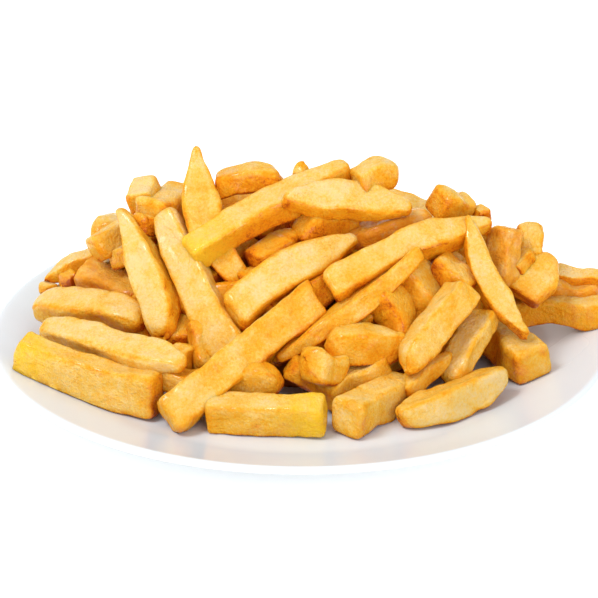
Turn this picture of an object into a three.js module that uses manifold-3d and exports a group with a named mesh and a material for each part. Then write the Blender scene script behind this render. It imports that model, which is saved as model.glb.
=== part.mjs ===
// A portion of french fries on a round white dinner plate, in millimetres, +Z up.
// The plate stands on its foot ring at Z = 0 with its middle on the Z axis, and -Y is the front.
import * as THREE from 'three';
import { mergeVertices } from 'three/addons/utils/BufferGeometryUtils.js';
import Module from 'manifold-3d';

const wasm = await Module();
wasm.setup();

// Plate: a flat well, a wide shallow slope up to a rolled rim, and a foot ring under the well.
const PLATE_RADIUS = 132.5;
const PLATE_HEIGHT = 20;
const PLATE_SEGMENTS = 64;
const PLATE_THICKNESS = 4.5;
const RIM_THICKNESS = 3;
const WELL_RADIUS = 90;
const WELL_HEIGHT = 8;
const FOOT_RADIUS = 74;
const FOOT_WIDTH = 5;
const FOOT_DEPTH = WELL_HEIGHT - PLATE_THICKNESS;

// Heap: fries cut about 12 mm square from large potatoes, over two domes that only gaps could show: a high
// narrow one, and a low wide one that the outermost fries lie against.
const FRY_SIDES = 8;
const STRAIGHT_STOPS = [0, 0.08, 0.92, 1];
const CURVED_STOPS = [0, 0.08, 0.28, 0.5, 0.72, 0.92, 1];
const FRY_CORNER = 4;
const PLATE_GAP = 0.4;
const FINEST_DETAIL = 0.15;
const CORES = [
  { across: 98, deep: 54, high: 54, back: 13 },
  { across: 110, deep: 67, high: 20, back: 0 },
];
const CORE_SIDES = 16;
const CORE_ROWS = 8;

// How each kind of end narrows: share of the width and of the thickness left at the very end, and the share
// of the fry's length over which it narrows.
const ENDS = {
  cut: { width: 0.93, thickness: 0.93, run: 0.07 },
  round: { width: 0.55, thickness: 0.6, run: 0.26 },
  point: { width: 0.22, thickness: 0.4, run: 0.5 },
  leaf: { width: 0.3, thickness: 0.75, run: 0.45 },
  taper: { width: 0.6, thickness: 0.7, run: 0.4 },
};

// The picture in which the heap was measured: the camera stands CAMERA_DISTANCE from AIM and looks down on it
// by CAMERA_ELEVATION. The picture is PICTURE_SIZE pixels square and MM_PER_PIXEL is its scale at AIM.
const PICTURE_SIZE = 598;
const MM_PER_PIXEL = 0.4268;
const CAMERA_DISTANCE = 1300;
const CAMERA_ELEVATION = THREE.MathUtils.degToRad(23.8);
const AIM = new THREE.Vector3(-1, 0, 33.75);
const VIEW_RIGHT = new THREE.Vector3(1, 0, 0);
const VIEW_UP = new THREE.Vector3(0, Math.sin(CAMERA_ELEVATION), Math.cos(CAMERA_ELEVATION));
const VIEW_FORWARD = new THREE.Vector3(0, Math.cos(CAMERA_ELEVATION), -Math.sin(CAMERA_ELEVATION));
const EYE = AIM.clone().addScaledVector(VIEW_FORWARD, -CAMERA_DISTANCE);

// The fries that show, one to a row:
// [name, [pixels across, pixels down, mm back] for the middle of one end, the same for the other end,
//  [width, thickness] in mm, roll in degrees, [pixels right, pixels down] that its middle bends, two ends]
const SEEN = [
  ['front left slab', [20, 352, -34], [158, 398, -64], [12, 18], 0, [0, 3], 'cut', 'cut'],
  ['long pale front left', [40, 326, -20], [186, 368, -62], [14, 11], -20, [0, 0], 'round', 'round'],
  ['blistered arch', [34, 311, 6], [147, 325, -24], [15, 13], -20, [0, -11], 'round', 'round'],
  ['ridged brown', [84, 273, 21], [148, 300, -2], [13, 11], -20, [0, -2], 'cut', 'round'],
  ['back left edge', [47, 284, 26], [97, 254, 30], [10, 8], 0, [0, 0], 'point', 'cut'],
  ['front bar', [168, 420, -76], [316, 297, -29], [13, 17], 45, [0, 0], 'cut', 'cut'],
  ['bottom front', [208, 413, -72], [325, 416, -79], [14, 15], -8, [0, 2], 'cut', 'cut'],
  ['under the front bar', [215, 384, -58], [284, 380, -60], [12, 13], 0, [0, -2], 'cut', 'round'],
  ['front block', [346, 421, -81], [402, 392, -49], [15, 15], 0, [0, 0], 'cut', 'cut'],
  ['smile', [397, 416, -74], [506, 375, -42], [14, 14], 15, [2, 5], 'round', 'round'],
  ['right block', [533, 365, -34], [497, 337, -6], [17, 17], 0, [0, 0], 'cut', 'cut'],
  ['right bar', [508, 311, 11], [604, 312, 7], [12, 13], 0, [0, 0], 'cut', 'cut'],
  ['right back', [546, 274, 20], [604, 284, 17], [9, 8], -20, [0, -1], 'cut', 'cut'],
  ['right back, lower', [544, 286, 16], [600, 288, 14], [9, 7], 0, [0, 4], 'cut', 'leaf'],
  ['fan', [519, 297, -5], [551, 257, 9], [19, 8], -30, [0, 0], 'cut', 'leaf'],
  ['right blade', [527, 337, -29], [466, 217, -4], [13, 11], 30, [-9, 5], 'leaf', 'point'],
  ['rough upright', [500, 290, -3], [508, 228, 5], [13, 12], 20, [0, 0], 'round', 'cut'],
  ['behind the blade', [478, 266, 1], [494, 230, 9], [9, 8], 0, [0, 0], 'cut', 'cut'],
  ['tan round end', [532, 264, 7], [531, 222, 22], [12, 12], 0, [0, 0], 'round', 'round'],
  ['small wedge', [514, 272, 1], [534, 254, 7], [9, 9], 0, [0, 0], 'cut', 'leaf'],
  ['middle right', [330, 291, -31], [492, 224, 1], [15, 13], -35, [0, -11], 'cut', 'leaf'],
  ['middle left', [233, 313, -37], [356, 241, -5], [17, 12], -35, [0, -8], 'cut', 'leaf'],
  ['yellow end', [190, 258, -15], [350, 170, 13], [14, 13], -15, [0, -7], 'cut', 'taper'],
  ['boat', [283, 201, -7], [411, 209, 1], [17, 11], -40, [0, -5], 'leaf', 'leaf'],
  ['under the boat', [301, 223, -3], [352, 226, 9], [14, 12], 0, [0, 0], 'cut', 'cut'],
  ['crinkled', [345, 240, -1], [432, 216, 7], [12, 10], 0, [0, 0], 'round', 'round'],
  ['wide pale leaner', [236, 362, -46], [165, 212, 5], [16, 12], 45, [-5, 0], 'cut', 'taper'],
  ['curved leaner', [166, 338, -35], [118, 209, 7], [15, 13], 45, [7, 0], 'round', 'point'],
  ['left blade', [240, 284, -19], [195, 148, 18], [17, 11], 20, [-13, 0], 'taper', 'point'],
  ['deep orange back', [214, 187, 12], [284, 178, 11], [12, 11], 0, [0, -4], 'cut', 'round'],
  ['back tip', [298, 200, 14], [305, 162, 12], [9, 9], 0, [0, 0], 'cut', 'point'],
  ['top block', [356, 182, 4], [397, 168, 12], [13, 13], 0, [0, 0], 'cut', 'round'],
  ['left top block', [139, 207, 11], [148, 184, 25], [12, 12], 15, [0, 0], 'cut', 'cut'],
  ['left top, nearer', [149, 217, 5], [184, 199, 26], [18, 15], 0, [0, 0], 'cut', 'cut'],
  ['square end left', [99, 236, 23], [131, 230, 45], [14, 16], 0, [0, 0], 'round', 'cut'],
  ['pale tip', [62, 286, 20], [78, 276, 26], [9, 8], 0, [0, 0], 'round', 'round'],
  ['far left bit', [42, 294, 22], [56, 287, 30], [7, 6], 0, [0, 0], 'round', 'round'],
  ['under the square end', [113, 260, 10], [150, 250, 1], [9, 8], 0, [0, 0], 'cut', 'cut'],
  ['dark inner left', [128, 332, -13], [148, 300, -7], [11, 10], 0, [0, 0], 'cut', 'cut'],
  ['tan tip', [176, 370, -45], [190, 343, -37], [10, 9], 0, [0, 0], 'cut', 'round'],
  ['tan shaded', [212, 370, -45], [197, 322, -31], [11, 10], 0, [0, 0], 'cut', 'cut'],
  ['behind the front bar', [155, 374, -53], [208, 388, -62], [10, 10], 0, [0, 0], 'cut', 'cut'],
  ['dark inner point', [255, 262, -15], [302, 238, 1], [14, 11], 0, [0, 0], 'cut', 'leaf'],
  ['thin curved', [277, 360, -49], [423, 251, -22], [13, 10], 20, [2, 4], 'point', 'leaf'],
  ['golden inner', [378, 284, -27], [404, 334, -33], [17, 14], 0, [0, 0], 'round', 'cut'],
  ['tan inner', [408, 266, -16], [438, 312, -22], [19, 12], 0, [0, 0], 'cut', 'cut'],
  ['orange inner', [436, 262, -11], [472, 290, -19], [13, 11], 0, [0, 0], 'cut', 'cut'],
  ['yellow stub', [404, 368, -57], [462, 287, -25], [14, 13], 30, [0, 0], 'round', 'cut'],
  ['tan leaner', [450, 384, -49], [484, 310, -22], [14, 9], 10, [0, 0], 'round', 'cut'],
  ['lens wedge', [326, 343, -49], [404, 349, -45], [16, 16], 0, [0, -1], 'round', 'leaf'],
  ['curled end', [304, 358, -62], [348, 368, -53], [15, 14], 20, [-2, 6], 'round', 'round'],
  ['thin tan', [322, 396, -60], [384, 362, -44], [13, 11], 0, [0, 0], 'cut', 'cut'],
];

// Fries that fill the heap out behind and under those: they lie on domes, a turn of the golden angle apart.
// The dome is the heap's own round outline, less the thickness of a fry.
const FILL = [
  { dome: { across: 98, deep: 62, high: 60 }, lowest: 0.05, highest: 0.2, count: 7, from: 28, to: 152 },
  { dome: { across: 104, deep: 72, high: 72 }, lowest: 0.15, highest: 0.74, count: 14, from: 24, to: 156 },
];
const FILL_LENGTH = { least: 42, most: 70 };
const FILL_SIZE = [13, 13];
const FILL_REST = 8.5;
const GOLDEN_ANGLE = Math.PI * (3 - Math.sqrt(5));
const SEED = 20260;

// A small repeatable source of numbers from 0 to 1.
function drawFrom(seed) {
  let state = seed;
  return () => {
    state = (state * 16807) % 2147483647;
    return state / 2147483647;
  };
}

// The place that shows at a point of the picture and lies a given distance back from the plate's middle.
function seenAt([across, down, back]) {
  const focal = CAMERA_DISTANCE / MM_PER_PIXEL;
  const ray = VIEW_FORWARD.clone()
    .addScaledVector(VIEW_RIGHT, (across - PICTURE_SIZE / 2) / focal)
    .addScaledVector(VIEW_UP, (PICTURE_SIZE / 2 - down) / focal);
  return EYE.clone().addScaledVector(ray, (back - EYE.y) / ray.y);
}

// How much of its width and thickness a fry keeps at a share of its length, between its two kinds of end.
function narrowing(share, firstEnd, lastEnd) {
  const kept = { width: 1, thickness: 1 };
  for (const [reach, end] of [[share, ENDS[firstEnd]], [1 - share, ENDS[lastEnd]]]) {
    const ease = Math.sin((Math.PI / 2) * Math.min(1, reach / end.run));
    kept.width *= end.width + (1 - end.width) * ease;
    kept.thickness *= end.thickness + (1 - end.thickness) * ease;
  }
  return kept;
}

// One fry: a cylinder whose rings are drawn out to a square section with rounded corners, along a bent line.
function fryGeometry({ start, finish, size, roll, bend, ends }) {
  const [width, thickness] = size;
  const along = finish.clone().sub(start);
  const heading = along.clone().normalize();
  const level = heading.clone().cross(new THREE.Vector3(0, 0, 1)).normalize();
  const upward = level.clone().cross(heading);
  const turn = THREE.MathUtils.degToRad(roll);
  const side = level.clone().multiplyScalar(Math.cos(turn)).addScaledVector(upward, Math.sin(turn));
  const top = upward.clone().multiplyScalar(Math.cos(turn)).addScaledVector(level, -Math.sin(turn));

  const straight = bend.length() < 1 && ends.every((end) => end === 'cut');
  const stops = straight ? STRAIGHT_STOPS : CURVED_STOPS;
  const steps = stops.length - 1;
  const geometry = new THREE.CylinderGeometry(1, 1, 1, FRY_SIDES, steps);
  const position = geometry.attributes.position;
  const halfStep = Math.PI / FRY_SIDES;
  for (let i = 0; i < position.count; i += 1) {
    const share = stops[Math.round((position.getY(i) + 0.5) * steps)];
    const radius = Math.hypot(position.getX(i), position.getZ(i));
    const angle = Math.atan2(position.getZ(i), position.getX(i)) + halfStep;
    const corner = (Math.abs(Math.cos(angle)) ** FRY_CORNER + Math.abs(Math.sin(angle)) ** FRY_CORNER)
      ** (-1 / FRY_CORNER);
    const kept = narrowing(share, ends[0], ends[1]);
    const arch = 4 * share * (1 - share);
    const point = start.clone()
      .addScaledVector(along, share)
      .addScaledVector(bend, arch)
      .addScaledVector(side, radius * corner * Math.cos(angle) * (width / 2) * kept.width)
      .addScaledVector(top, radius * corner * Math.sin(angle) * (thickness / 2) * kept.thickness);
    position.setXYZ(i, point.x, point.y, point.z);
  }
  return geometry;
}

// The fries read from the picture.
function seenFries() {
  return SEEN.map(([, from, to, size, roll, [bendRight, bendDown], firstEnd, lastEnd]) => ({
    start: seenAt(from),
    finish: seenAt(to),
    size,
    roll,
    bend: VIEW_RIGHT.clone().multiplyScalar(bendRight * MM_PER_PIXEL)
      .addScaledVector(VIEW_UP, -bendDown * MM_PER_PIXEL),
    ends: [firstEnd, lastEnd],
  }));
}

// The height of the plate's top face at a distance from its middle.
function plateTopAt(distance) {
  const top = plateProfile();
  const radius = Math.min(distance, top[top.length - 1][0]);
  const outer = Math.max(1, top.findIndex(([edge]) => edge >= radius));
  const [[innerRadius, innerHeight], [outerRadius, outerHeight]] = [top[outer - 1], top[outer]];
  return innerHeight + ((outerHeight - innerHeight) * (radius - innerRadius)) / (outerRadius - innerRadius);
}

// Lifts the middle of a fry's end until the fry lies on the plate instead of crossing it.
function restOnPlate(end) {
  return end.setZ(Math.max(end.z, plateTopAt(Math.hypot(end.x, end.y)) + FILL_REST));
}

// The fries laid over one dome, each flat against it and turned its own way.
function domeFries({ dome, lowest, highest, count, from, to }, draw) {
  const fries = [];
  for (let i = 0; i < count; i += 1) {
    const height = lowest + (highest - lowest) * ((i + 0.5) / count);
    const sweep = ((i * GOLDEN_ANGLE) / (2 * Math.PI)) % 1;
    const azimuth = THREE.MathUtils.degToRad(from + (to - from) * sweep);
    const level = Math.sqrt(1 - height * height);
    const middle = new THREE.Vector3(
      dome.across * level * Math.cos(azimuth),
      dome.deep * level * Math.sin(azimuth),
      WELL_HEIGHT + dome.high * height,
    );
    const outward = new THREE.Vector3(
      middle.x / dome.across ** 2,
      middle.y / dome.deep ** 2,
      (middle.z - WELL_HEIGHT) / dome.high ** 2,
    ).normalize();
    const heading = new THREE.Vector3(-Math.sin(azimuth), Math.cos(azimuth), 0)
      .applyAxisAngle(outward, (draw() - 0.5) * 2.4);
    heading.addScaledVector(outward, -heading.dot(outward)).normalize();
    const half = (FILL_LENGTH.least + (FILL_LENGTH.most - FILL_LENGTH.least) * draw()) / 2;
    fries.push({
      start: restOnPlate(middle.clone().addScaledVector(heading, -half)),
      finish: restOnPlate(middle.clone().addScaledVector(heading, half)),
      size: FILL_SIZE,
      roll: (draw() - 0.5) * 60,
      bend: new THREE.Vector3(),
      ends: ['cut', 'cut'],
    });
  }
  return fries;
}

// A core: a dome in the middle of the heap, where the fries lie too close together to be told apart.
function coreGeometry({ across, deep, high, back }) {
  const geometry = new THREE.SphereGeometry(1, CORE_SIDES, CORE_ROWS);
  geometry.rotateX(Math.PI / 2);
  geometry.scale(across, deep, high);
  geometry.translate(0, back, WELL_HEIGHT);
  return geometry;
}

// The plate's section from the middle of the well out over the rim and back under to the middle.
function plateProfile(lift = 0) {
  return [
    [0, WELL_HEIGHT + lift],
    [WELL_RADIUS, WELL_HEIGHT + lift],
    [WELL_RADIUS + 6, WELL_HEIGHT + 0.7 + lift],
    [PLATE_RADIUS - 4, PLATE_HEIGHT - 0.8 + lift],
    [PLATE_RADIUS - 1.5, PLATE_HEIGHT + lift],
  ];
}

function plateGeometry() {
  const underside = [
    [PLATE_RADIUS, PLATE_HEIGHT - 1.4],
    [PLATE_RADIUS - 0.9, PLATE_HEIGHT - RIM_THICKNESS],
    [WELL_RADIUS + 8, WELL_HEIGHT + 1.4 - PLATE_THICKNESS],
    [FOOT_RADIUS + FOOT_WIDTH + 1, FOOT_DEPTH],
    [FOOT_RADIUS + FOOT_WIDTH, 0],
    [FOOT_RADIUS, 0],
    [FOOT_RADIUS - 1, FOOT_DEPTH],
    [0, FOOT_DEPTH],
  ];
  return latheUpright([...plateProfile(), ...underside]);
}

// Everything that the fries keep clear of: the plate's top face, lifted by the gap, and all below it.
function plateClearance() {
  const outer = PLATE_RADIUS * 1.3;
  const top = plateProfile(PLATE_GAP);
  return latheUpright([...top, [outer, PLATE_HEIGHT + PLATE_GAP], [outer, -outer], [0, -outer]]);
}

// A lathe about Z, its section given from the top face outward and back underneath.
function latheUpright(section) {
  const points = section.map(([radius, height]) => new THREE.Vector2(radius, height)).reverse();
  const geometry = new THREE.LatheGeometry(points, PLATE_SEGMENTS);
  geometry.rotateX(Math.PI / 2);
  return geometry;
}

function toSolid(geometry) {
  const bare = geometry.clone();
  bare.deleteAttribute('normal');
  bare.deleteAttribute('uv');
  const merged = mergeVertices(bare, 1e-4);
  const mesh = new wasm.Mesh({
    numProp: 3,
    vertProperties: new Float32Array(merged.attributes.position.array),
    triVerts: new Uint32Array(merged.index.array),
  });
  return new wasm.Manifold(mesh);
}

function toGeometry(solid) {
  const mesh = solid.getMesh();
  const geometry = new THREE.BufferGeometry();
  geometry.setAttribute('position', new THREE.BufferAttribute(Float32Array.from(mesh.vertProperties), 3));
  geometry.setIndex(new THREE.BufferAttribute(Uint32Array.from(mesh.triVerts), 1));
  geometry.computeVertexNormals();
  return geometry;
}

// The fused heap: the largest body of the union, so no loose scrap and no sealed hollow is left in it.
function heapGeometry() {
  const draw = drawFrom(SEED);
  const fries = [...seenFries(), ...FILL.flatMap((layer) => domeFries(layer, draw))];
  const pieces = [...fries.map(fryGeometry), ...CORES.map(coreGeometry)].map(toSolid);
  const fused = wasm.Manifold.union(pieces).subtract(toSolid(plateClearance())).simplify(FINEST_DETAIL);
  const bodies = fused.decompose().sort((a, b) => b.volume() - a.volume());
  return toGeometry(bodies[0]);
}

const portion = new THREE.Group();
portion.name = 'french_fries_portion';

const plate = new THREE.Mesh(
  plateGeometry(),
  new THREE.MeshStandardMaterial({ color: 0xebe9ea, roughness: 0.25 }),
);
plate.name = 'plate';

const fries = new THREE.Mesh(
  heapGeometry(),
  new THREE.MeshStandardMaterial({ color: 0xf0b95a, roughness: 0.6 }),
);
fries.name = 'fries';

portion.add(plate, fries);

export default portion;
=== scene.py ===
# %% [markdown]
# # A portion of french fries on a dinner plate
#
# Some eighty thick-cut fries lie in a heap on a round white plate. This lesson builds them as real meshes,
# one fry at a time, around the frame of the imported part, and then lights them like the photograph.
#
# The frame holds the part's plain solids: the plate, and the whole heap as one faceted body. Every piece made
# here rides on it and takes the place of one of those solids.

import math

import bmesh
import bpy
from mathutils import Matrix, Vector, noise


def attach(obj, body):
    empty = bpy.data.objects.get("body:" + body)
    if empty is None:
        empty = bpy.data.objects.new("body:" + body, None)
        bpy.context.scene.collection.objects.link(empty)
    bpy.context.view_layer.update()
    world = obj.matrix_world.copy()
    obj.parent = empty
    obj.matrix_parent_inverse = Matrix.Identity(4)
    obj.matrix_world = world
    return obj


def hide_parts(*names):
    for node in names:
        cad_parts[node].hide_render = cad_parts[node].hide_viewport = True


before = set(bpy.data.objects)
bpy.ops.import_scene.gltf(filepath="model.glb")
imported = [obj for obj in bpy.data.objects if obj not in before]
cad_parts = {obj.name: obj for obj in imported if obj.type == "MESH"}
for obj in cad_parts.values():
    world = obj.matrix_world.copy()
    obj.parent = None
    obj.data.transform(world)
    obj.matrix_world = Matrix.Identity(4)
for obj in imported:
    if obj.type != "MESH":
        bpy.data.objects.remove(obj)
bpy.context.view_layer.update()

# %% [markdown]
# ## The picture's view
#
# The heap was measured in the photograph, so the camera comes first. It looks along +Y and down by a little
# under 24 degrees, from far enough away that the plate's near and far rim are almost the same size.

# %% The camera
MM = 0.001
PICTURE_SIZE = 598
PIXEL = 0.4268 * MM
CAMERA_DISTANCE = 1300 * MM
CAMERA_ELEVATION = math.radians(23.8)
AIM = Vector((-1, 0, 33.75)) * MM
SENSOR = 36.0

VIEW_RIGHT = Vector((1, 0, 0))
VIEW_UP = Vector((0, math.sin(CAMERA_ELEVATION), math.cos(CAMERA_ELEVATION)))
VIEW_FORWARD = Vector((0, math.cos(CAMERA_ELEVATION), -math.sin(CAMERA_ELEVATION)))
EYE = AIM - VIEW_FORWARD * CAMERA_DISTANCE

camera_data = bpy.data.cameras.new("camera")
camera_data.sensor_width = SENSOR
camera_data.lens = SENSOR * CAMERA_DISTANCE / (PICTURE_SIZE * PIXEL)
camera = bpy.data.objects.new("camera", camera_data)
camera.location = EYE
camera.rotation_euler = (math.pi / 2 - CAMERA_ELEVATION, 0, 0)
bpy.context.scene.collection.objects.link(camera)
bpy.context.scene.camera = camera
print("lens", round(camera_data.lens), "mm")

# %% [markdown]
# ## Where each fry lies
#
# Each row gives a fry's two ends as they show in the photograph: pixels across, pixels down, and how many
# millimetres the end lies back from the middle of the plate. Then come its width and thickness in mm, its
# roll in degrees, how far its middle bends in pixels, the shapes of its two ends, and its look.

# %% The fries that show
PALE, GOLDEN, AMBER, BROWN = "pale", "golden", "amber", "brown"
SEEN = [
    ("front left slab", (20, 352, -34), (158, 398, -64), (12, 18), 0, (0, 3), "cut", "cut", GOLDEN),
    ("long pale front left", (40, 326, -20), (186, 368, -62), (14, 11), -20, (0, 0), "round", "round", PALE),
    ("blistered arch", (34, 311, 6), (147, 325, -24), (15, 13), -20, (0, -11), "round", "round", GOLDEN),
    ("ridged brown", (84, 273, 21), (148, 300, -2), (13, 11), -20, (0, -2), "cut", "round", BROWN),
    ("back left edge", (47, 284, 26), (97, 254, 30), (10, 8), 0, (0, 0), "point", "cut", GOLDEN),
    ("front bar", (168, 420, -76), (316, 297, -29), (13, 17), 45, (0, 0), "cut", "cut", GOLDEN),
    ("bottom front", (208, 413, -72), (325, 416, -79), (14, 15), -8, (0, 2), "cut", "cut", GOLDEN),
    ("under the front bar", (215, 384, -58), (284, 380, -60), (12, 13), 0, (0, -2), "cut", "round", AMBER),
    ("front block", (346, 421, -81), (402, 392, -49), (15, 15), 0, (0, 0), "cut", "cut", PALE),
    ("smile", (397, 416, -74), (506, 375, -42), (14, 14), 15, (2, 5), "round", "round", GOLDEN),
    ("right block", (533, 365, -34), (497, 337, -6), (17, 17), 0, (0, 0), "cut", "cut", GOLDEN),
    ("right bar", (508, 311, 11), (604, 312, 7), (12, 13), 0, (0, 0), "cut", "cut", GOLDEN),
    ("right back", (546, 274, 20), (604, 284, 17), (9, 8), -20, (0, -1), "cut", "cut", GOLDEN),
    ("right back, lower", (544, 286, 16), (600, 288, 14), (9, 7), 0, (0, 4), "cut", "leaf", BROWN),
    ("fan", (519, 297, -5), (551, 257, 9), (19, 8), -30, (0, 0), "cut", "leaf", GOLDEN),
    ("right blade", (527, 337, -29), (466, 217, -4), (13, 11), 30, (-9, 5), "leaf", "point", GOLDEN),
    ("rough upright", (500, 290, -3), (508, 228, 5), (13, 12), 20, (0, 0), "round", "cut", BROWN),
    ("behind the blade", (478, 266, 1), (494, 230, 9), (9, 8), 0, (0, 0), "cut", "cut", AMBER),
    ("tan round end", (532, 264, 7), (531, 222, 22), (12, 12), 0, (0, 0), "round", "round", AMBER),
    ("small wedge", (514, 272, 1), (534, 254, 7), (9, 9), 0, (0, 0), "cut", "leaf", GOLDEN),
    ("middle right", (330, 291, -31), (492, 224, 1), (15, 13), -35, (0, -11), "cut", "leaf", PALE),
    ("middle left", (233, 313, -37), (356, 241, -5), (17, 12), -35, (0, -8), "cut", "leaf", PALE),
    ("yellow end", (190, 258, -15), (350, 170, 13), (14, 13), -15, (0, -7), "cut", "taper", PALE),
    ("boat", (283, 201, -7), (411, 209, 1), (17, 11), -40, (0, -5), "leaf", "leaf", PALE),
    ("under the boat", (301, 223, -3), (352, 226, 9), (14, 12), 0, (0, 0), "cut", "cut", GOLDEN),
    ("crinkled", (345, 240, -1), (432, 216, 7), (12, 10), 0, (0, 0), "round", "round", BROWN),
    ("wide pale leaner", (236, 362, -46), (165, 212, 5), (16, 12), 45, (-5, 0), "cut", "taper", PALE),
    ("curved leaner", (166, 338, -35), (118, 209, 7), (15, 13), 45, (7, 0), "round", "point", GOLDEN),
    ("left blade", (240, 284, -19), (195, 148, 18), (17, 11), 20, (-13, 0), "taper", "point", GOLDEN),
    ("deep orange back", (214, 187, 12), (284, 178, 11), (12, 11), 0, (0, -4), "cut", "round", AMBER),
    ("back tip", (298, 200, 14), (305, 162, 12), (9, 9), 0, (0, 0), "cut", "point", GOLDEN),
    ("top block", (356, 182, 4), (397, 168, 12), (13, 13), 0, (0, 0), "cut", "round", PALE),
    ("left top block", (139, 207, 11), (148, 184, 25), (12, 12), 15, (0, 0), "cut", "cut", PALE),
    ("left top, nearer", (149, 217, 5), (184, 199, 26), (18, 15), 0, (0, 0), "cut", "cut", PALE),
    ("square end left", (99, 236, 23), (131, 230, 45), (14, 16), 0, (0, 0), "round", "cut", GOLDEN),
    ("pale tip", (62, 286, 20), (78, 276, 26), (9, 8), 0, (0, 0), "round", "round", AMBER),
    ("far left bit", (42, 294, 22), (56, 287, 30), (7, 6), 0, (0, 0), "round", "round", PALE),
    ("under the square end", (113, 260, 10), (150, 250, 1), (9, 8), 0, (0, 0), "cut", "cut", GOLDEN),
    ("dark inner left", (128, 332, -13), (148, 300, -7), (11, 10), 0, (0, 0), "cut", "cut", AMBER),
    ("tan tip", (176, 370, -45), (190, 343, -37), (10, 9), 0, (0, 0), "cut", "round", GOLDEN),
    ("tan shaded", (212, 370, -45), (197, 322, -31), (11, 10), 0, (0, 0), "cut", "cut", GOLDEN),
    ("behind the front bar", (155, 374, -53), (208, 388, -62), (10, 10), 0, (0, 0), "cut", "cut", AMBER),
    ("dark inner point", (255, 262, -15), (302, 238, 1), (14, 11), 0, (0, 0), "cut", "leaf", AMBER),
    ("thin curved", (277, 360, -49), (423, 251, -22), (13, 10), 20, (2, 4), "point", "leaf", GOLDEN),
    ("golden inner", (378, 284, -27), (404, 334, -33), (17, 14), 0, (0, 0), "round", "cut", AMBER),
    ("tan inner", (408, 266, -16), (438, 312, -22), (19, 12), 0, (0, 0), "cut", "cut", GOLDEN),
    ("orange inner", (436, 262, -11), (472, 290, -19), (13, 11), 0, (0, 0), "cut", "cut", AMBER),
    ("yellow stub", (404, 368, -57), (462, 287, -25), (14, 13), 30, (0, 0), "round", "cut", PALE),
    ("tan leaner", (450, 384, -49), (484, 310, -22), (14, 9), 10, (0, 0), "round", "cut", GOLDEN),
    ("lens wedge", (326, 343, -49), (404, 349, -45), (16, 16), 0, (0, -1), "round", "leaf", AMBER),
    ("curled end", (304, 358, -62), (348, 368, -53), (15, 14), 20, (-2, 6), "round", "round", AMBER),
    ("thin tan", (322, 396, -60), (384, 362, -44), (13, 11), 0, (0, 0), "cut", "cut", GOLDEN),
    ("dark inner front", (288, 366, -52), (334, 386, -52), (11, 10), 0, (0, 0), "cut", "cut", AMBER),
    ("orange point", (402, 392, -57), (452, 354, -41), (9, 8), 0, (0, 0), "cut", "point", GOLDEN),
    ("right top block", (438, 203, 9), (468, 211, 20), (12, 12), -20, (0, 0), "cut", "round", GOLDEN),
    ("orange bit", (474, 218, 13), (488, 212, 17), (8, 7), 0, (0, 0), "cut", "cut", AMBER),
    ("orange patch", (136, 226, 1), (160, 222, 7), (9, 9), 0, (0, 0), "cut", "cut", AMBER),
]
# Fries with a bright yellow end: 0 is the first end of the row, 1 the other.
YELLOW_ENDS = {
    "yellow end": 0,
    "bottom front": 1,
    "front left slab": 0,
}
print(len(SEEN), "fries show in the photograph")


def seen_at(across, down, back):
    """The place that shows at a pixel of the picture and lies that far back, in mm."""
    focal = CAMERA_DISTANCE / PIXEL
    ray = (
        VIEW_FORWARD
        + VIEW_RIGHT * ((across - PICTURE_SIZE / 2) / focal)
        + VIEW_UP * ((PICTURE_SIZE / 2 - down) / focal)
    )
    return EYE + ray * ((back * MM - EYE.y) / ray.y)


# %% [markdown]
# The fries behind and under those aren't in the picture. They lie over domes, a turn of the golden angle
# apart, so they are spread evenly without forming rows. One ring lies on the plate and one dome is the back
# of the heap. Two more domes are the inside, which only the gaps show.

# %% The fries that fill the heap out
SEED = 20260
GOLDEN_ANGLE = math.pi * (3 - math.sqrt(5))
WELL_HEIGHT = 8 * MM
FILL_SIZE = (13, 13)
FILL_REST = 8.5 * MM
# How far a fry may turn from level on its dome, in radians from end to end, and roll, in degrees.
FILL_TURN = 2.4
FILL_ROLL = 60
FILL = [
    {"dome": (98, 62, 60), "heights": (0.05, 0.2), "count": 7, "sweep": (28, 152), "lengths": (42, 70)},
    {"dome": (104, 72, 72), "heights": (0.15, 0.74), "count": 14, "sweep": (24, 156), "lengths": (42, 70)},
]
INSIDE = [
    {"dome": (76, 41, 46), "heights": (0.05, 0.95), "count": 46, "sweep": (-180, 180), "lengths": (30, 42)},
    {"dome": (86, 60, 56), "heights": (0.1, 0.93), "count": 34, "sweep": (12, 168), "lengths": (30, 42)},
]
# The plate's top face: (distance from its middle, height).
PLATE_TOP = [(r * MM, z * MM) for r, z in ((0, 8), (90, 8), (96, 8.7), (128.5, 19.2), (131, 20))]
PLATE_GAP = 0.4 * MM

DRAW_FACTOR = 16807
DRAW_MODULUS = 2147483647


def draw_from(seed):
    """A small repeatable source of numbers from 0 to 1, the same one as the part's."""
    state = seed

    def draw():
        nonlocal state
        state = (state * DRAW_FACTOR) % DRAW_MODULUS
        return state / DRAW_MODULUS

    return draw


def plate_top(radius):
    """The height of the plate's top face at a distance from its middle."""
    for (r0, z0), (r1, z1) in zip(PLATE_TOP, PLATE_TOP[1:]):
        if radius <= r1:
            return z0 + (z1 - z0) * (radius - r0) / (r1 - r0)
    return PLATE_TOP[-1][1]


def rest_on_plate(end):
    """Lifts the middle of a fry's end until the fry lies on the plate instead of crossing it."""
    end.z = max(end.z, plate_top(math.hypot(end.x, end.y)) + FILL_REST)
    return end


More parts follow.
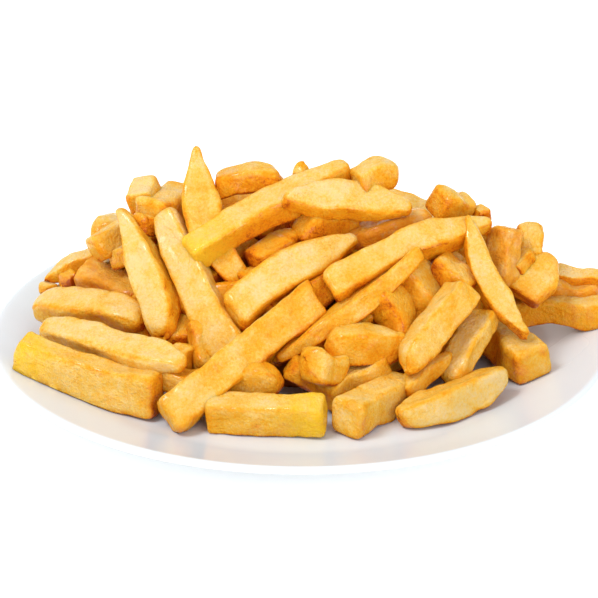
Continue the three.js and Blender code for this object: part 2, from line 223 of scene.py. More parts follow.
def dome_fries(layer, draw, look):
    """The fries laid over one dome, each flat against it and turned its own way."""
    across, deep, high = (size * MM for size in layer["dome"])
    lowest, highest = layer["heights"]
    first, last = layer["sweep"]
    shortest, longest = layer["lengths"]
    fries = []
    for i in range(layer["count"]):
        height = lowest + (highest - lowest) * (i + 0.5) / layer["count"]
        share = (i * GOLDEN_ANGLE / (2 * math.pi)) % 1
        azimuth = math.radians(first + (last - first) * share)
        level = math.sqrt(1 - height * height)
        middle = Vector((across * level * math.cos(azimuth), deep * level * math.sin(azimuth), high * height))
        outward = Vector((middle.x / across**2, middle.y / deep**2, middle.z / high**2)).normalized()
        middle.z += WELL_HEIGHT
        heading = Vector((-math.sin(azimuth), math.cos(azimuth), 0))
        heading.rotate(Matrix.Rotation((draw() - 0.5) * FILL_TURN, 3, outward))
        heading = (heading - outward * heading.dot(outward)).normalized()
        half = (shortest + (longest - shortest) * draw()) / 2 * MM
        fries.append(
            {
                "start": rest_on_plate(middle - heading * half),
                "finish": rest_on_plate(middle + heading * half),
                "size": FILL_SIZE,
                "roll": (draw() - 0.5) * FILL_ROLL,
                "bend": Vector(),
                "ends": ("cut", "cut"),
                "look": look(i),
                "yellow": None,
            }
        )
    return fries


def seen_fries():
    """The fries read from the picture."""
    return [
        {
            "start": seen_at(*start),
            "finish": seen_at(*finish),
            "size": size,
            "roll": roll,
            "bend": (VIEW_RIGHT * bend[0] - VIEW_UP * bend[1]) * PIXEL,
            "ends": (first_end, last_end),
            "look": look,
            "yellow": YELLOW_ENDS.get(name),
        }
        for name, start, finish, size, roll, bend, first_end, last_end, look in SEEN
    ]


draw = draw_from(SEED)
outer_looks = (GOLDEN, PALE, AMBER, GOLDEN, BROWN, PALE, GOLDEN, AMBER)
fries = seen_fries()
for layer in FILL:
    fries += dome_fries(layer, draw, lambda i: outer_looks[i % len(outer_looks)])
inside_fries = []
for layer in INSIDE:
    inside_fries += dome_fries(layer, draw, lambda i: AMBER)
print(len(fries), "fries outside and", len(inside_fries), "inside")

# %% [markdown]
# ## One fry
#
# A real fry is a cut stick of potato: square when it goes in, and swollen, bent and wrinkled when it comes
# out. A scaled cube would stay too plain, and sculpting each one by hand can't be repeated. So each fry
# starts as a cube cut into a fine grid, and a rule moves the grid's points. The grid is finest along the fry,
# where the wrinkles are, and its lines are drawn towards the edges, where the surface turns most.

# %% A grid to shape
OUTER_GRID = (43, 8)
INSIDE_GRID = (25, 6)
# How much of a grid line's place stays even, and how much of it is drawn towards the edges.
EVEN_SHARE, DRAWN_SHARE = 0.45, 0.55


def gridded_cube(length_cuts, section_cuts):
    """A cube from -1 to 1, cut into a grid that is finest along X."""
    bm = bmesh.new()
    bmesh.ops.create_cube(bm, size=2)
    for axis, cuts in ((0, length_cuts), (1, section_cuts), (2, section_cuts)):
        along = [e for e in bm.edges if abs(e.verts[0].co[axis] - e.verts[1].co[axis]) > 1e-4]
        bmesh.ops.subdivide_edges(bm, edges=along, cuts=cuts, use_grid_fill=True)
    return bm


def tightened(value):
    """Moves a grid line from -1..1 towards the nearer end, where the surface turns most."""
    return EVEN_SHARE * value + DRAWN_SHARE * math.sin(math.pi / 2 * value)


def smooth(low, high, value):
    """0 below low, 1 above high, and an even curve between."""
    x = min(1, max(0, (value - low) / (high - low)))
    return x * x * (3 - 2 * x)


templates = {grid: gridded_cube(*grid) for grid in (OUTER_GRID, INSIDE_GRID)}
print("faces in a grid:", [len(bm.faces) for bm in templates.values()])

# %% [markdown]
# The section of a fry is a superellipse. Its power says how square it stays: a high one is a crisp cut stick,
# and two is a plain ellipse. Where a fry ends, it narrows in one of five ways, from a clean cut to a point.

# %% The section and the ends
SQUARENESS = {PALE: 5.5, GOLDEN: 6.0, AMBER: 4.8, BROWN: 4.2}
END_KINDS = {
    # width kept, thickness kept, share of the length that narrows, radius of the end's edge in mm, squareness
    "cut": (0.93, 0.93, 0.07, 1.6, 8),
    "round": (0.55, 0.60, 0.26, 3.6, 2.4),
    "point": (0.22, 0.40, 0.50, 1.8, 2.6),
    "leaf": (0.30, 0.75, 0.45, 2.0, 2.8),
    "taper": (0.60, 0.70, 0.40, 2.6, 3.6),
}
LEAST_HALF = 0.4 * MM


def narrowing(share, ends):
    """How much of its width and thickness a fry keeps at a share of its length."""
    width = thickness = 1
    for reach, kind in ((share, ends[0]), (1 - share, ends[1])):
        kept_width, kept_thickness, narrows = END_KINDS[kind][:3]
        ease = math.sin(math.pi / 2 * min(1, reach / narrows))
        width *= kept_width + (1 - kept_width) * ease
        thickness *= kept_thickness + (1 - kept_thickness) * ease
    return width, thickness


def rounded_end(radius, from_end):
    """How much the edge around an end takes off each side at a distance from the end."""
    inset = 1 - min(1, from_end / radius)
    return radius * (1 - math.sqrt(1 - inset * inset))


def on_section(a, b, power):
    """What a place (a, b) on a square is scaled by to lie on a superellipse."""
    reach = max(abs(a), abs(b))
    return reach / (abs(a) ** power + abs(b) ** power) ** (1 / power) if reach else 0


def axes_of(fry):
    """A fry's own directions: along it, its heading, to its side and out of its top, turned by its roll."""
    along = fry["finish"] - fry["start"]
    heading = along.normalized()
    level = Vector((0, 0, 1)).cross(heading).normalized()
    upward = heading.cross(level)
    turn = math.radians(fry["roll"])
    side = level * math.cos(turn) - upward * math.sin(turn)
    top = upward * math.cos(turn) + level * math.sin(turn)
    return along, heading, side, top


print("squareness of the middle of a fry:", SQUARENESS)

# %% [markdown]
# A fryer bends and twists the sticks, so the middle of each wanders, swells and turns a little, and its ends
# are cut on a slant. Every fry has its own place in the noise, called its drift, so no two are the same. The
# same pass notes how near a point is to an edge or an end, because those brown first.

# %% Bend one grid into a fry
DRIFT_STEPS = (7.13, 3.71, 1.37)
TWIST = math.radians(34)
SLANT = 0.9
SLANT_SHARE = 0.2
SWELL = 0.2
WANDER = 1.8 * MM
FACE_TONES = 0.26
EDGE_START = 0.68
RIM_WIDTH = 4 * MM
RIM_WEIGHT = 0.8
END_TONE_REACH = (9 * MM, 1 * MM)
YELLOW_REACH = (26 * MM, 3 * MM)


def face_shade(drift, place):
    """How much browner than its fry a cut face is, blended over the edges between the faces."""
    weights = [abs(c) ** 10 for c in place]
    faces = [Vector((11 + 3 * i, 2 if c < 0 else 7, 5 * i)) for i, c in enumerate(place)]
    shades = [noise.noise(drift + face) for face in faces]
    return sum(w * shade for w, shade in zip(weights, shades)) / sum(weights)


def shape_fry(bm, fry, drift):
    """Moves the grid's vertices to one fry's shape and place, and gives how much each may sag."""
    width, thickness = (size * MM for size in fry["size"])
    start = fry["start"]
    along, heading, side, top = axes_of(fry)
    length = along.length
    squareness = SQUARENESS[fry["look"]]
    slant = [noise.noise(drift + Vector((k * 5.3, 0, 0))) * SLANT for k in (1, 2)]
    twist = noise.noise(drift + Vector((0, 4.1, 0))) * TWIST
    tone_layer = bm.verts.layers.float.new("tone")
    edge_layer = bm.verts.layers.float.new("edge")
    end_layer = bm.verts.layers.float.new("end")
    bm.verts.layers.float.new("crease")
    bm.verts.layers.float_vector.new("fibre")
    yellow_layer = bm.verts.layers.float.new("yellow")
    inside_face = []
    for v in bm.verts:
        s, a, b = (tightened(c) for c in v.co)
        v[tone_layer] = FACE_TONES * face_shade(drift, v.co)
        nearer = 0 if s < 0 else 1
        share = (s + 1) / 2
        from_end = (1 - abs(s)) * length / 2
        narrows, radius, end_power = END_KINDS[fry["ends"][nearer]][2:]
        kept_width, kept_thickness = narrowing(share, fry["ends"])
        rounding = rounded_end(radius * MM, from_end)
        towards_end = smooth(1 - 2 * narrows - 0.2, 1, abs(s))
        power = squareness + (min(squareness, end_power) - squareness) * towards_end
        corner = on_section(a, b, power)
        swell = [noise.noise(drift + Vector((share * 2.6, k * 9.7, 0))) for k in (1, 2, 3, 4)]
        half_width = max(LEAST_HALF, width / 2 * kept_width - rounding) * (1 + SWELL * swell[0])
        half_thickness = max(LEAST_HALF, thickness / 2 * kept_thickness - rounding) * (1 + SWELL * swell[1])
        reach = max(abs(a), abs(b))
        at_side = smooth(EDGE_START, 1, min(abs(a), abs(b))) if reach > 0.99 else 0
        at_rim = RIM_WEIGHT * smooth(RIM_WIDTH, 0, from_end) * smooth(0.5, 1, reach)
        v[edge_layer] = max(at_side, at_rim)
        v[end_layer] = smooth(*END_TONE_REACH, from_end)
        v[yellow_layer] = smooth(*YELLOW_REACH, from_end) if fry["yellow"] == nearer else 0
        angle = twist * (share - 0.5)
        a, b = a * math.cos(angle) - b * math.sin(angle), a * math.sin(angle) + b * math.cos(angle)
        slide = b * slant[nearer] * smooth(0.55, 1, abs(s)) * thickness * SLANT_SHARE
        v.co = (
            start
            + along * share
            + heading * slide
            + fry["bend"] * (4 * share * (1 - share))
            + (side * swell[2] + top * swell[3]) * WANDER
            + side * (a * corner * half_width)
            + top * (b * corner * half_thickness)
        )
        middle_of_face = smooth(0.95, 0.2, min(abs(a), abs(b))) * smooth(2 * MM, 12 * MM, from_end)
        dent = noise.noise(drift + Vector((share * 3, 2.2, 8.1 * (abs(a) > abs(b)))))
        inside_face.append(middle_of_face * max(0, 0.5 + dent))
    bm.normal_update()
    return inside_face


# %% [markdown]
# Then the skin itself. Steam lifts it in broad lumps, the faces sag where the inside has dried, thin creases
# run over it and fine wrinkles follow its length. A bump in the material would show none of that in outline,
# so each of them moves real vertices. Short ends are kept calmer, or they would lose their shape.

# %% Wrinkle its skin
LUMPS = {PALE: 1.0, GOLDEN: 1.05, AMBER: 1.1, BROWN: 1.25}
WRINKLES = {PALE: 0.16, GOLDEN: 0.18, AMBER: 0.24, BROWN: 0.4}
SAG = 0.9
CREASE = 0.4
PIT = 1.2
# How often each of them repeats in a metre.
LUMP_RATE, FINE_LUMP_RATE = 75, 170
WRINKLE_RATE_ACROSS, WRINKLE_RATE_ALONG = 420, 90
CREASE_RATE, PIT_RATE = 48, 320
CALM_LENGTHS = (12 * MM, 42 * MM)
LEAST_CALM = 0.35
FIBRE_STRETCH = 0.4


def wrinkle_fry(bm, fry, drift, inside_face):
    """Pushes the skin in and out, and stores the creases and the way the fibres run."""
    look, start = fry["look"], fry["start"]
    along = fry["finish"] - start
    heading = along.normalized()
    calm = LEAST_CALM + (1 - LEAST_CALM) * smooth(*CALM_LENGTHS, along.length)
    crease_layer = bm.verts.layers.float["crease"]
    fibre_layer = bm.verts.layers.float_vector["fibre"]
    for v, inside in zip(bm.verts, inside_face):
        place = v.co - start
        run = place.dot(heading)
        across = place - heading * run
        lump = noise.noise(v.co * LUMP_RATE + drift) + 0.5 * noise.noise(v.co * FINE_LUMP_RATE + drift)
        ripple = across * WRINKLE_RATE_ACROSS + heading * run * WRINKLE_RATE_ALONG
        wrinkle = noise.noise(ripple + drift)
        crease = smooth(0.1, 0, abs(noise.noise(v.co * CREASE_RATE + drift * 3)))
        pit = max(0, noise.noise(v.co * PIT_RATE + drift * 2) - 0.3)
        push = calm * (LUMPS[look] * lump - CREASE * crease - SAG * inside)
        push += WRINKLES[look] * (wrinkle - PIT * pit)
        v[crease_layer] = crease
        v[fibre_layer] = across + heading * (run * FIBRE_STRETCH) + drift
        v.co += v.normal * (push * MM)
        floor = plate_top(math.hypot(v.co.x, v.co.y)) + PLATE_GAP
        v.co.z = max(v.co.z, floor)
    bm.normal_update()


# %% [markdown]
# The colour of a fried potato depends on where it is: edges and thin ends brown first. Shade is painted in as
# well: a face turned away from the light or into the heap is painted a deeper amber, and what lies deep in
# the heap is painted a dark red-brown.
# Each fry stores those as numbers on its vertices, and the material turns them into colour later. That way
# one material serves every fry of a look, and the joined mesh still has fries that differ.

# %% What a fry's colour is made from
TONE = {PALE: 0.08, GOLDEN: 0.19, AMBER: 0.33, BROWN: 0.3}
TONE_SPREAD = 0.1
# Painted shade: a face turned away from this direction, up and to the left towards the key lamp, or into the
# heap, is painted browner.
LIGHT_DIRECTION = Vector((-0.3, 0, 1.05))
OUTSIDE = Vector((124, 86, 84)) * MM
# Where the painted shade deep in the heap begins and where it is full, as a share of the way in.
SKIN_DEPTH = 0.16
INSIDE_DEPTH = 0.6


def lit_direction(place):
    """Which way a face at this place must look to be painted as lit: out of the heap and up towards the
    light.
    """
    x, y, z = place.x / OUTSIDE.x**2, place.y / OUTSIDE.y**2, (place.z - WELL_HEIGHT) / OUTSIDE.z**2
    return (Vector((x, y, z)).normalized() + LIGHT_DIRECTION).normalized()


def depth_in_heap(place):
    """0 on the outside of the heap and 1 well inside it, where the fries are painted a dark red-brown shade.
    """
    x, y, z = place.x / OUTSIDE.x, place.y / OUTSIDE.y, (place.z - WELL_HEIGHT) / OUTSIDE.z
    return smooth(SKIN_DEPTH, INSIDE_DEPTH, 1 - math.sqrt(x * x + y * y + z * z))


def colour_fry(bm, fry, number):
    """Stores the tone of every vertex, and how lit and how deep in the heap it is, which paint shade into its
    colour.
    """
    tone_layer = bm.verts.layers.float["tone"]
    lit_layer = bm.verts.layers.float.new("lit")
    heap_shade_layer = bm.verts.layers.float.new("deep")
    own_tone = TONE[fry["look"]] + TONE_SPREAD * noise.noise(Vector((number * 2.7, 1.1, 0.3)))
    for v in bm.verts:
        v[tone_layer] += own_tone
        # Painted shade: how far a face turns towards the light and out of the heap; the rest is painted
        # browner.
        v[lit_layer] = smooth(-0.6, 0.9, v.normal.dot(lit_direction(v.co)))
        # Painted shade: the deeper in the heap, the darker red-brown the vertex is painted.
        v[heap_shade_layer] = depth_in_heap(v.co)


print("tone of each look:", TONE)

# %% [markdown]
# Eighty objects would make a long list for whoever takes the part over. Fries of one look share a material,
# so they are joined into one mesh for each look. The short fries inside show only through gaps, so their grid
# is coarser and they are a piece of their own.

# %% Build the fries, one piece for each look
def object_from(name, bm):
    """A smooth-shaded object at the origin, from a bmesh that is then freed."""
    for face in bm.faces:
        face.smooth = True
    mesh = bpy.data.meshes.new(name)
    bm.to_mesh(mesh)
    bm.free()
    thing = bpy.data.objects.new(name, mesh)
    bpy.context.scene.collection.objects.link(thing)
    return thing


def build_piece(name, chosen, template):
    """Joins the chosen fries into one mesh object."""
    joined = bmesh.new()
    part = bpy.data.meshes.new("one fry")
    for number, fry in chosen:
        drift = Vector([number * step for step in DRIFT_STEPS])
        bm = template.copy()
        wrinkle_fry(bm, fry, drift, shape_fry(bm, fry, drift))
        colour_fry(bm, fry, number)
        bm.to_mesh(part)
        bm.free()
        joined.from_mesh(part)
    bpy.data.meshes.remove(part)
    piece = object_from(name, joined)
    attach(piece, "root")
    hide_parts("fries")
    print(name, "-", len(chosen), "fries,", 2 * len(piece.data.polygons), "triangles")
    return piece


pieces = {}
for look in (PALE, GOLDEN, AMBER, BROWN):
    chosen = [(number, fry) for number, fry in enumerate(fries) if fry["look"] == look]
    pieces[look] = build_piece(f"fries_{look}", chosen, templates[OUTER_GRID])
inside = build_piece("fries_inside", list(enumerate(inside_fries, len(fries))), templates[INSIDE_GRID])
for template in templates.values():
    template.free()

# %% [markdown]
# Behind the innermost fries there would still be chinks of daylight. A real heap is potato all the way
# through, so a lumpy dome of potato stands in for what nobody sees, coloured dark as painted shade. It is
# kept well below the fries.

# %% The core that only the deepest gaps could show
CORE_SIZE = Vector((80, 42, 46)) * MM
CORE_BACK = 8 * MM
CORE_SEGMENTS = (48, 24)
CORE_LUMPS = 2 * MM
CORE_LUMP_RATE = 90

bm = bmesh.new()
bmesh.ops.create_uvsphere(bm, u_segments=CORE_SEGMENTS[0], v_segments=CORE_SEGMENTS[1], radius=1)
for v in bm.verts:
    direction = v.co.copy()
    x, y, z = (c * size for c, size in zip(v.co, CORE_SIZE))
    v.co = Vector((x, y + CORE_BACK, z + WELL_HEIGHT))
    v.co += direction * (noise.noise(v.co * CORE_LUMP_RATE) * CORE_LUMPS)
    v.co.z = max(v.co.z, WELL_HEIGHT + PLATE_GAP)
core = object_from("core", bm)
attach(core, "root")
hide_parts("fries")
print("core:", len(core.data.polygons), "faces")

# %% [markdown]
# ## The plate
#
# A dinner plate is shaped on a wheel, so it is the same all the way round. Spinning one half of its section
# about its axis makes it in a single step, with the rolled rim and the foot ring. The section has more points
# where it turns, and none where it runs straight.

# %% The plate
PLATE_STEPS = 160
WELD_DISTANCE = 0.01 * MM
# Half of a cut through the plate, in mm: well, slope, rolled rim, underside and foot ring.
PLATE_SECTION = [
    (0, 8), (88, 8), (92, 8.15), (96, 8.7), (100, 9.8), (127, 18.7), (129, 19.5), (130.4, 19.95),
    (131.3, 19.95), (132.1, 19.5), (132.5, 18.7), (132.4, 17.8), (131.6, 17.05), (130, 16.4), (98, 5.2),
    (86, 3.9), (81, 3.5), (79.6, 2.6), (79, 0.6), (78.4, 0), (74.6, 0), (74, 0.6), (73.4, 2.6), (72, 3.4),
    (68, 3.5), (0, 3.5),
]

bm = bmesh.new()
ring = [bm.verts.new((radius * MM, 0, height * MM)) for radius, height in PLATE_SECTION]
edges = [bm.edges.new(pair) for pair in zip(ring, ring[1:])]
bmesh.ops.spin(
    bm,
    geom=ring + edges,
    cent=(0, 0, 0),
    axis=(0, 0, 1),
    angle=2 * math.pi,
    steps=PLATE_STEPS,
    use_merge=True,
)
bmesh.ops.remove_doubles(bm, verts=bm.verts, dist=WELD_DISTANCE)
bmesh.ops.recalc_face_normals(bm, faces=bm.faces)
plate = object_from("plate_glazed", bm)
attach(plate, "root")
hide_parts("plate")
print("plate:", len(plate.data.polygons), "faces")

# %% [markdown]
# ## Materials
#
# Every material is worked out from the place on the object and from the numbers stored on the mesh, so it
# needs no picture files. A few helpers keep the node trees readable: each makes one node, wires what goes in
# and gives back what comes out. A noise's scale is how often it repeats in a metre.

# %% Helpers for node trees
def group_tree(name, inputs, outputs):
    """A shader node group with named inputs and outputs: (name, type, default) and (name, type)."""
    tree = bpy.data.node_groups.new(name, "ShaderNodeTree")
    for label, kind, default in inputs:
        socket = tree.interface.new_socket(label, in_out="INPUT", socket_type=kind)
        socket.default_value = default
    for label, kind in outputs:
        tree.interface.new_socket(label, in_out="OUTPUT", socket_type=kind)
    return tree, tree.nodes.new("NodeGroupInput"), tree.nodes.new("NodeGroupOutput")


def math_node(tree, operation, first, second=None, clamp=False):
    """One Math node; each input is a socket or a number."""
    node = tree.nodes.new("ShaderNodeMath")
    node.operation = operation
    node.use_clamp = clamp
    for socket, value in zip(node.inputs, (first, second)):
        if value is None:
            continue
        if isinstance(value, (int, float)):
            socket.default_value = value
        else:
            tree.links.new(value, socket)
    return node.outputs[0]


def noise_node(tree, vector, scale, detail=2.0, roughness=0.5):
    """A noise texture over a place, from 0 to 1."""
    node = tree.nodes.new("ShaderNodeTexNoise")
    node.inputs["Scale"].default_value = scale
    node.inputs["Detail"].default_value = detail
    node.inputs["Roughness"].default_value = roughness
    tree.links.new(vector, node.inputs["Vector"])
    return node.outputs["Fac"]


def ramp_node(tree, factor, stops):
    """A colour ramp with (position, colour) stops."""
    node = tree.nodes.new("ShaderNodeValToRGB")
    elements = node.color_ramp.elements
    while len(elements) < len(stops):
        elements.new(0.5)
    for element, (position, colour) in zip(elements, stops):
        element.position = position
        element.color = (*colour, 1)
    tree.links.new(factor, node.inputs["Fac"])
    return node.outputs["Color"]


def mix_node(tree, factor, first, second):
    """A colour mix; each input is a socket or a number or colour."""
    node = tree.nodes.new("ShaderNodeMix")
    node.data_type = "RGBA"
    for socket, value in ((node.inputs[0], factor), (node.inputs[6], first), (node.inputs[7], second)):
        if isinstance(value, (int, float)):
            socket.default_value = value
        elif isinstance(value, tuple):
            socket.default_value = (*value, 1)
        else:
            tree.links.new(value, socket)
    return node.outputs[2]


def attribute_node(tree, name, output="Fac"):
    """A number or a vector stored on the mesh."""
    node = tree.nodes.new("ShaderNodeAttribute")
    node.attribute_name = name
    return node.outputs[output]


def add_part(tree, total, share, value, middle=None):
    """The total plus a share of a value, or of how far the value lies over its middle."""
    if middle is not None:
        value = math_node(tree, "SUBTRACT", value, middle)
    part = math_node(tree, "MULTIPLY", value, share)
    return part if total is None else math_node(tree, "ADD", total, part)


def over(tree, value, threshold, steepness):
    """0 up to a threshold, then rising to 1 as steeply as asked."""
    rest = math_node(tree, "SUBTRACT", value, threshold)
    return math_node(tree, "MULTIPLY", rest, steepness, clamp=True)


def new_material(name):
    """A material, its node tree and its shader."""
    material = bpy.data.materials.new(name)
    material.use_nodes = True
    return material, material.node_tree, material.node_tree.nodes["Principled BSDF"]


def object_place(tree):
    """The place on the object, in metres."""
    return tree.nodes.new("ShaderNodeTexCoord").outputs["Object"]


def bump_node(tree, shader, height, strength, distance):
    """Turns a height into the shader's normal."""
    bump = tree.nodes.new("ShaderNodeBump")
    bump.inputs["Strength"].default_value = strength
    bump.inputs["Distance"].default_value = distance
    tree.links.new(height, bump.inputs["Height"])
    tree.links.new(bump.outputs["Normal"], shader.inputs["Normal"])


def set_sockets(shader, values):
    """Sets constants on a shader's own sockets."""
    for label, value in values.items():
        shader.inputs[label].default_value = value


# %% [markdown]
# The colour of a fry is one number, how far it has browned or is painted as shaded, read off a ramp from
# cream to deep red-brown. The tone of the fry starts it, and then painted shade (on faces turned from the
# light or into the heap, and deep in the heap), edges, creases and noise of several sizes each add their
# part. Painting a colour for each fry would be quicker, but then no fry would change along its length.
# The bright yellow ends and the crusted brown fries are mixed in after that.

# %% The colour of fried potato
# How much each thing browns a fry; the painted shade on faces turned from the light and deep in the heap
# darkens it the same way.
BROWNING_AND_SHADE = {
    # painted shade on faces turned from the light or into the heap
    "painted_shade": 0.52,
    # painted shade deep in the heap
    "deep": 0.36,
    "broad": 0.6,
    "patches": 0.25,
    "grain": 0.95,
    "fibres": 0.2,
    "seams": 0.07,
    "edge": 0.5,
    "crease": 0.06,
    "end": 0.04,
}
FRIED_RAMP = [
    (0.0, (0.87, 0.61, 0.25)),
    (0.2, (0.88, 0.545, 0.115)),
    (0.4, (0.87, 0.44, 0.035)),
    (0.6, (0.87, 0.35, 0.008)),
    (0.8, (0.80, 0.25, 0.004)),
    (1.0, (0.48, 0.09, 0.002)),
]
CRUST_RAMP = [(0.4, (0.74, 0.22, 0.008)), (0.5, (0.88, 0.38, 0.035)), (0.62, (0.9, 0.60, 0.2))]
CRUST_WEIGHT = 0.6
YELLOW = (0.93, 0.58, 0.025)
YELLOW_LEAST = 0.15
SPECK = (0.42, 0.17, 0.04)
SPECK_WEIGHT = 0.45


def seam_lines(tree, fibre):
    """Thin wandering lines along a fry, 1 on the line and 0 away from it."""
    wander = noise_node(tree, fibre, 150, 2)
    away = math_node(tree, "ABSOLUTE", math_node(tree, "SUBTRACT", wander, 0.52))
    line = math_node(tree, "SUBTRACT", 1.0, math_node(tree, "MULTIPLY", away, 45.0), clamp=True)
    return math_node(tree, "MULTIPLY", line, over(tree, noise_node(tree, fibre, 60, 1), 0.45, 8.0))


def fried_colour_group():
    """From a fry's own numbers and its place to its colour."""
    tree, given, result = group_tree(
        "Fried Potato Colour",
        [
            ("Place", "NodeSocketVector", (0, 0, 0)),
            ("Tone", "NodeSocketFloat", 0.3),
            # how lit a face is, which sets its painted shade
            ("Lit", "NodeSocketFloat", 1.0),
            # how deep in the heap, which sets its painted shade
            ("Deep", "NodeSocketFloat", 0.0),
            ("Edge", "NodeSocketFloat", 0.0),
            ("End", "NodeSocketFloat", 0.0),
            ("Crease", "NodeSocketFloat", 0.0),
            ("Yellow", "NodeSocketFloat", 0.0),
            ("Brown", "NodeSocketFloat", 0.0),
            ("Fibre", "NodeSocketVector", (0, 0, 0)),
        ],
        [("Color", "NodeSocketColor")],
    )
    socket = given.outputs
    broad = noise_node(tree, socket["Place"], 85, 2)
    patches = noise_node(tree, socket["Place"], 170, 4, 0.6)
    specks = noise_node(tree, socket["Place"], 900, 2)
    grain = noise_node(tree, socket["Place"], 800, 4, 0.75)
    fibres = noise_node(tree, socket["Fibre"], 520, 4, 0.65)
    seams = seam_lines(tree, socket["Fibre"])
    # Painted shade: faces turned from the light or into the heap.
    painted_shade = math_node(tree, "SUBTRACT", 1.0, socket["Lit"])
    worn = math_node(tree, "MULTIPLY", socket["Edge"], patches)
    amount = socket["Tone"]
    for name, value, middle in (
        # The first two parts are painted shade; the rest is the potato's own browning.
        ("painted_shade", painted_shade, None),
        ("deep", socket["Deep"], None),
        ("broad", broad, 0.5),
        ("patches", patches, 0.5),
        ("grain", grain, 0.5),
        ("fibres", fibres, 0.5),
        ("seams", seams, None),
        ("edge", worn, None),
        ("crease", socket["Crease"], None),
        ("end", socket["End"], None),
    ):
        amount = add_part(tree, amount, BROWNING_AND_SHADE[name], value, middle)
    fried = ramp_node(tree, amount, FRIED_RAMP)
    uneven = math_node(tree, "ADD", patches, YELLOW_LEAST)
    fried = mix_node(tree, math_node(tree, "MULTIPLY", socket["Yellow"], uneven), fried, YELLOW)
    blotches = add_part(tree, None, 0.35, fibres)
    blotches = add_part(tree, blotches, 0.65, patches)
    crust = ramp_node(tree, blotches, CRUST_RAMP)
    crusted = math_node(tree, "MULTIPLY", socket["Brown"], CRUST_WEIGHT)
    # The crust gives way to the painted shade deep in the heap.
    crusted = math_node(tree, "MULTIPLY", crusted, math_node(tree, "SUBTRACT", 1.0, socket["Deep"]))
    colour = mix_node(tree, crusted, fried, crust)
    dark = math_node(tree, "MULTIPLY", over(tree, specks, 0.69, 9.0), SPECK_WEIGHT)
    colour = mix_node(tree, dark, colour, SPECK)
    tree.links.new(colour, result.inputs["Color"])
    return tree


FRIED_COLOUR = fried_colour_group()
print(FRIED_COLOUR.name, "-", len(FRIED_COLOUR.nodes), "nodes")

# %% [markdown]
# Close up, the skin of a fry is grainy and pored, and a thin film of oil lies on parts of it. The relief is
# too fine for the mesh, so it is a bump. The oil is a clear coat that comes and goes with the folds, because
# an even gloss would make the fries look like plastic.

# %% The skin of a fry
RELIEF = {"grain": 0.75, "pores": 0.5, "folds": 0.8, "fibres": 0.3, "seams": -0.15}
SKIN_ROUGHNESS = 0.34


def skin_group():
    """The fine relief of a fried skin, and how oily it is."""
    tree, given, result = group_tree(
        "Fried Skin",
        [
            ("Place", "NodeSocketVector", (0, 0, 0)),
            ("Fibre", "NodeSocketVector", (0, 0, 0)),
            ("Brown", "NodeSocketFloat", 0.0),
        ],
        [("Height", "NodeSocketFloat"), ("Roughness", "NodeSocketFloat"), ("Oil", "NodeSocketFloat")],
    )
    place = given.outputs["Place"]
    grain = noise_node(tree, place, 1000, 3, 0.7)
    pores = noise_node(tree, place, 480, 3, 0.6)
    folds = noise_node(tree, place, 210, 2)
    fibres = noise_node(tree, given.outputs["Fibre"], 420, 3, 0.6)
    seams = seam_lines(tree, given.outputs["Fibre"])
    height = None
    for name, value in (
        ("grain", grain),
        ("pores", pores),
        ("folds", folds),
        ("fibres", fibres),
        ("seams", seams),
    ):
        height = add_part(tree, height, RELIEF[name], value)
    tree.links.new(height, result.inputs["Height"])
    roughness = add_part(tree, add_part(tree, SKIN_ROUGHNESS, 0.3, folds), 0.1, given.outputs["Brown"])
    tree.links.new(roughness, result.inputs["Roughness"])
    tree.links.new(over(tree, folds, 0.44, 4.0), result.inputs["Oil"])
    return tree


FRIED_SKIN = skin_group()
print(FRIED_SKIN.name, "-", len(FRIED_SKIN.nodes), "nodes")

# %% [markdown]
# Potato lets a little light in, which softens the shade between the fries, so the shader has some subsurface
# scattering over a couple of millimetres. All four looks use the same two groups. Only the brown one has its
# crust turned on.

# %% The fries' materials
BUMP_DEPTH = 1.3 * MM
POTATO_SOCKETS = {
    "Specular IOR Level": 0.1,
    "Coat Roughness": 0.14,
    "Subsurface Weight": 0.35,
    "Subsurface Radius": (1.0, 0.8, 0.4),
    "Subsurface Scale": 2 * MM,
}


def potato_material(name, brown):
    """Fried potato for one kind of fry."""
    material, tree, shader = new_material(name)
    place = object_place(tree)
    fibre = attribute_node(tree, "fibre", "Vector")
    colour, skin = (tree.nodes.new("ShaderNodeGroup") for _ in range(2))
    colour.node_tree, skin.node_tree = FRIED_COLOUR, FRIED_SKIN
    for node in (colour, skin):
        tree.links.new(place, node.inputs["Place"])
        tree.links.new(fibre, node.inputs["Fibre"])
        node.inputs["Brown"].default_value = brown
    # Lit and Deep carry the painted shade; the others are the fry's own colour.
    for label in ("Tone", "Lit", "Deep", "Edge", "End", "Crease", "Yellow"):
        tree.links.new(attribute_node(tree, label.lower()), colour.inputs[label])
    bump_node(tree, shader, skin.outputs["Height"], 1.0, BUMP_DEPTH)
    tree.links.new(colour.outputs["Color"], shader.inputs["Base Color"])
    tree.links.new(skin.outputs["Roughness"], shader.inputs["Roughness"])
    tree.links.new(skin.outputs["Oil"], shader.inputs["Coat Weight"])
    set_sockets(shader, POTATO_SOCKETS)
    return material


for look, piece in pieces.items():
    piece.data.materials.append(potato_material(f"potato_{look}", 1.0 if look == BROWN else 0.0))
inside.data.materials.append(pieces[AMBER].data.materials[0])
print("materials:", [piece.data.materials[0].name for piece in pieces.values()])

# %% [markdown]
# What shows of the core is in deep shade and almost dry, so it is a dull potato, coloured dark as painted
# shade.

# %% The core's dark potato
# Painted shade: far darker than the fries' own colour.
CORE_SHADE_RAMP = [(0.35, (0.22, 0.045, 0.002)), (0.65, (0.5, 0.15, 0.008))]


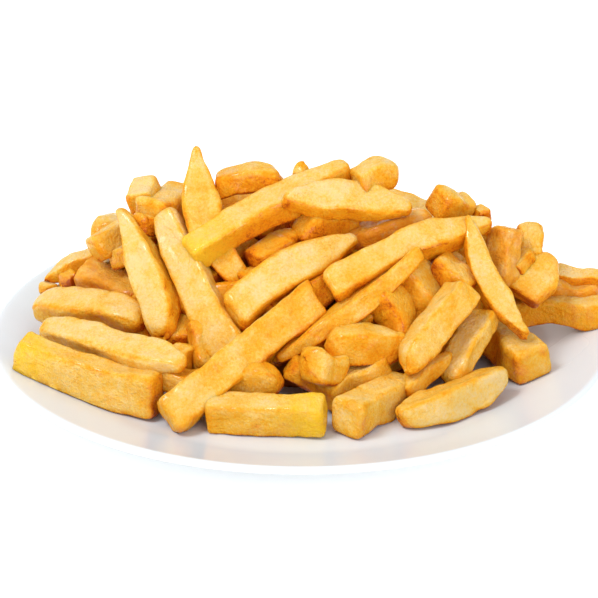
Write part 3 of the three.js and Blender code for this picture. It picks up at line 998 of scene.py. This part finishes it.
def core_shade_material():
    """Fried potato coloured dark as painted shade, with soft patches."""
    material, tree, shader = new_material("core_painted_shade")
    colour = ramp_node(tree, noise_node(tree, object_place(tree), 90, 4), CORE_SHADE_RAMP)
    tree.links.new(colour, shader.inputs["Base Color"])
    set_sockets(shader, {"Roughness": 0.6, "Specular IOR Level": 0.05})
    return material


core.data.materials.append(core_shade_material())
print("the core has", core.data.materials[0].name)

# %% [markdown]
# Glaze is glass over white clay. It is almost even, but a plate of one exact white looks drawn, so its tone
# and its gloss drift a little over the whole plate, and a very faint bump breaks up the reflections.

# %% The plate's glaze
GLAZE_RAMP = [(0.3, (0.715, 0.755, 0.795)), (0.7, (0.755, 0.80, 0.835))]
GLAZE_ROUGHNESS = 0.16


def glaze_material():
    """White glaze with a faint unevenness of tone and gloss."""
    material, tree, shader = new_material("glaze")
    place = object_place(tree)
    broad = noise_node(tree, place, 14, 3)
    fine = noise_node(tree, place, 420, 2)
    tree.links.new(ramp_node(tree, broad, GLAZE_RAMP), shader.inputs["Base Color"])
    tree.links.new(add_part(tree, GLAZE_ROUGHNESS, 0.16, broad), shader.inputs["Roughness"])
    bump_node(tree, shader, fine, 0.05, 0.2 * MM)
    return material


plate.data.materials.append(glaze_material())
print("the plate has", plate.data.materials[0].name)

# %% [markdown]
# ## The stage and the light
#
# The photograph has a white surround, so the floor is almost white and gives off a little light of its own,
# which keeps it from going grey. It lies just under the plate's foot ring.

# %% The floor
FLOOR_HALF = 3.0
FLOOR_GAP = 0.5 * MM
FLOOR_SOCKETS = {
    "Base Color": (0.93, 0.93, 0.925, 1),
    "Roughness": 0.9,
    "Emission Color": (1, 1, 0.99, 1),
    "Emission Strength": 0.3,
}

bm = bmesh.new()
bmesh.ops.create_grid(bm, x_segments=1, y_segments=1, size=FLOOR_HALF)
bmesh.ops.translate(bm, verts=bm.verts, vec=(0, 0, -FLOOR_GAP))
floor = object_from("floor", bm)
material, tree, shader = new_material("floor")
set_sockets(shader, FLOOR_SOCKETS)
floor.data.materials.append(material)
print("floor:", 2 * FLOOR_HALF, "m square")

# %% [markdown]
# Its light is soft and comes from the upper left, with a little more from the front. Two square lamps give
# the fries their shaded sides, and a pale sky fills what they leave dark. A sun would draw hard shadows that
# the photograph doesn't have.

# %% The light
SKY_COLOUR = (0.97, 0.985, 1.0, 1)
SKY_STRENGTH = 0.85
# Each lamp: (place, side of the square, both in metres, and power in watts).
LAMPS = {
    "key": ((-0.7, -0.5, 1.3), 0.5, 11.5),
    "fill": ((0.7, -1.4, 0.6), 1.0, 7.5),
}

scene = bpy.context.scene
world = bpy.data.worlds.new("studio")
world.use_nodes = True
set_sockets(world.node_tree.nodes["Background"], {"Color": SKY_COLOUR, "Strength": SKY_STRENGTH})
scene.world = world
for name, (place, side, power) in LAMPS.items():
    data = bpy.data.lights.new(name, "AREA")
    data.size = side
    data.energy = power
    lamp = bpy.data.objects.new(name, data)
    lamp.location = place
    lamp.rotation_euler = (AIM - Vector(place)).to_track_quat("-Z", "Y").to_euler()
    scene.collection.objects.link(lamp)
scene.view_settings.view_transform = "Standard"
scene.view_settings.look = "None"
scene.view_settings.exposure = 0.0
print("lamps:", list(LAMPS))
